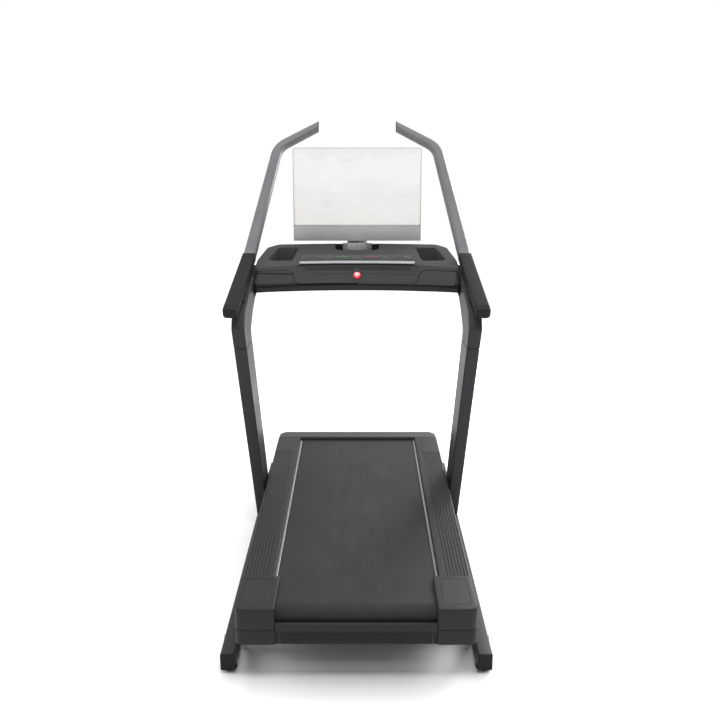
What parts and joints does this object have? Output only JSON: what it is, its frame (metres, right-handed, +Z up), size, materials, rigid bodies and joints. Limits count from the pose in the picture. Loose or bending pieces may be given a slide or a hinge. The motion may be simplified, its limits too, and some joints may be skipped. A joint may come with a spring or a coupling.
{
  "type": "treadmill",
  "caption": "Incline treadmill with a rear-hinged running deck, leaning uprights, curved console, tilting screen and tall bent handlebars.",
  "frame": {"origin": "on the floor, at the middle of the length and the width", "axes": "+Z up, +Y from the rear of the deck towards the front, +X to the runner's right"},
  "size_m": [0.9842, 1.867, 1.8573],
  "materials": {
    "frame_paint": "satin powder coat",
    "dark_steel": "satin black paint",
    "black_plastic": "matte",
    "rubber_black": "matte",
    "bolt_steel": "zinc plated",
    "console_plastic": "fine grain matte",
    "panel_plastic": "smooth matte",
    "start_key": "smooth matte",
    "stop_key": "smooth matte",
    "safety_red": "gloss",
    "silver_trim": "brushed",
    "board_green": "satin",
    "handle_metal": "satin powder coat",
    "grip_rubber": "soft matte",
    "mast_silver": "satin",
    "screen_grey": "satin",
    "screen_face": "gloss",
    "walking_board": "waxed board",
    "deck_plastic": "fine grain matte",
    "cover_plastic": "fine grain matte",
    "belt_rubber": "fine textured"
  },
  "bodies": {
    "base": {"base_rail_left": "frame_paint", "base_rail_right": "frame_paint", "base_cross_members": "dark_steel", "rail_end_caps": "black_plastic", "front_feet": "rubber_black", "upright_left": "frame_paint", "upright_right": "frame_paint", "arm_left": "frame_paint", "arm_right": "frame_paint", "frame_bolts": "bolt_steel", "console_base": "console_plastic", "console_top": "console_plastic", "console_fascia": "console_plastic", "storage_trays": "console_plastic", "key_panel": "panel_plastic", "tablet_rest": "silver_trim", "console_board": "board_green", "handlebar_left": "handle_metal", "handlebar_right": "handle_metal", "handle_grips": "grip_rubber", "handlebar_caps": "black_plastic", "power_inlet": "black_plastic", "lift_motor": "dark_steel"},
    "rear_foot_left": {"rear_foot_left": "rubber_black"},
    "rear_foot_right": {"rear_foot_right": "rubber_black"},
    "wheel_left": {"transport_wheel_left": "black_plastic"},
    "wheel_right": {"transport_wheel_right": "black_plastic"},
    "switch": {"power_switch": "safety_red"},
    "lift_frame": {"lift_frame": "dark_steel"},
    "lift_rollers": {"lift_rollers": "bolt_steel"},
    "lift_rod": {"lift_rod": "bolt_steel"},
    "screen_swivel": {"screen_post": "mast_silver"},
    "screen": {"screen_back": "screen_grey", "screen_glass": "screen_face", "screen_bar": "screen_grey"},
    "start_key": {"start_key": "start_key"},
    "stop_key": {"stop_key": "stop_key"},
    "speed_key": {"speed_key": "panel_plastic"},
    "incline_key": {"incline_key": "panel_plastic"},
    "safety_key": {"safety_key": "safety_red"},
    "deck": {"deck_rail_left": "dark_steel", "deck_rail_right": "dark_steel", "deck_cross_members": "dark_steel", "walking_board": "walking_board", "deck_cushions": "rubber_black", "foot_rail_left": "deck_plastic", "foot_rail_right": "deck_plastic", "belt_edge_strips": "silver_trim", "rear_cap_left": "deck_plastic", "rear_cap_right": "deck_plastic", "rear_apron": "deck_plastic", "front_cover": "cover_plastic", "walking_belt": "belt_rubber", "drive_motor": "dark_steel", "drive_belt": "rubber_black", "motor_pan": "dark_steel", "tension_bolts": "bolt_steel"},
    "front_roller": {"front_roller": "bolt_steel"},
    "rear_roller": {"rear_roller": "bolt_steel"},
    "motor_rotor": {"motor_pulley": "bolt_steel"}
  },
  "joints": [
    {"name": "deck_incline", "type": "hinge", "parent": "base", "child": "deck", "pos_m": [0, -0.6945, 0.048], "axis": [1, 0, 0], "range_deg": [-3.43, 21.8]},
    {"name": "lift_frame_hinge", "type": "hinge", "parent": "base", "child": "lift_frame", "pos_m": [0, -0.3, 0.044], "axis": [1, 0, 0], "range_deg": [-5.8, 36]},
    {"name": "lift_rod_slide", "type": "slide", "parent": "base", "child": "lift_rod", "axis": [0, 1, 0], "range_m": [-0.0535, 0.0095]},
    {"name": "lift_roller_spin", "type": "hinge", "parent": "lift_frame", "child": "lift_rollers", "pos_m": [0, 0.32014, 0.15502], "axis": [1, 0, 0], "continuous": true},
    {"name": "front_roller_spin", "type": "hinge", "parent": "deck", "child": "front_roller", "pos_m": [0, 0.712, 0.2495], "axis": [1, 0, 0], "continuous": true},
    {"name": "rear_roller_spin", "type": "hinge", "parent": "deck", "child": "rear_roller", "pos_m": [0, -0.866, 0.2495], "axis": [1, 0, 0], "continuous": true},
    {"name": "motor_spin", "type": "hinge", "parent": "deck", "child": "motor_rotor", "pos_m": [0, 0.655, 0.155], "axis": [1, 0, 0], "continuous": true},
    {"name": "screen_swivel", "type": "hinge", "parent": "base", "child": "screen_swivel", "pos_m": [0, 0.345, 1.3], "axis": [0, 0, 1], "range_deg": [-10, 10]},
    {"name": "screen_tilt", "type": "hinge", "parent": "screen_swivel", "child": "screen", "pos_m": [0, 0.49, 1.42], "axis": [1, 0, 0], "range_deg": [-12, 3]},
    {"name": "start_key_press", "type": "slide", "parent": "base", "child": "start_key", "axis": [0, 0.1736, -0.9848], "range_m": [0, 0.0012], "stiffness_N_per_m": 600, "springref_m": -0.0006},
    {"name": "stop_key_press", "type": "slide", "parent": "base", "child": "stop_key", "axis": [0, 0.1736, -0.9848], "range_m": [0, 0.0012], "stiffness_N_per_m": 600, "springref_m": -0.0006},
    {"name": "speed_key_press", "type": "slide", "parent": "base", "child": "speed_key", "axis": [0, 0.1736, -0.9848], "range_m": [0, 0.0012], "stiffness_N_per_m": 600, "springref_m": -0.0006},
    {"name": "incline_key_press", "type": "slide", "parent": "base", "child": "incline_key", "axis": [0, 0.1736, -0.9848], "range_m": [0, 0.0012], "stiffness_N_per_m": 600, "springref_m": -0.0006},
    {"name": "safety_key_pull", "type": "slide", "parent": "base", "child": "safety_key", "axis": [0, -0.8415, 0.5402], "range_m": [0, 0.02]},
    {"name": "power_rocker", "type": "hinge", "parent": "base", "child": "switch", "pos_m": [-0.159, 0.864, 0.044], "axis": [1, 0, 0], "range_deg": [-9, 9]},
    {"name": "rear_foot_left_turn", "type": "hinge", "parent": "base", "child": "rear_foot_left", "pos_m": [-0.445, -0.8, 0], "axis": [0, 0, 1], "continuous": true},
    {"name": "wheel_left_spin", "type": "hinge", "parent": "base", "child": "wheel_left", "pos_m": [-0.4075, 0.886, 0.042], "axis": [1, 0, 0], "continuous": true},
    {"name": "rear_foot_right_turn", "type": "hinge", "parent": "base", "child": "rear_foot_right", "pos_m": [0.445, -0.8, 0], "axis": [0, 0, 1], "continuous": true},
    {"name": "wheel_right_spin", "type": "hinge", "parent": "base", "child": "wheel_right", "pos_m": [0.4075, 0.886, 0.042], "axis": [1, 0, 0], "continuous": true}
  ],
  "couplings": [
    {"joint": "lift_frame_hinge", "follows": "deck_incline", "ratio": 1.64},
    {"joint": "lift_rod_slide", "follows": "deck_incline", "m_per_rad": -0.1365},
    {"joint": "rear_roller_spin", "follows": "front_roller_spin", "ratio": 1},
    {"joint": "motor_spin", "follows": "front_roller_spin", "ratio": 2.72}
  ]
}
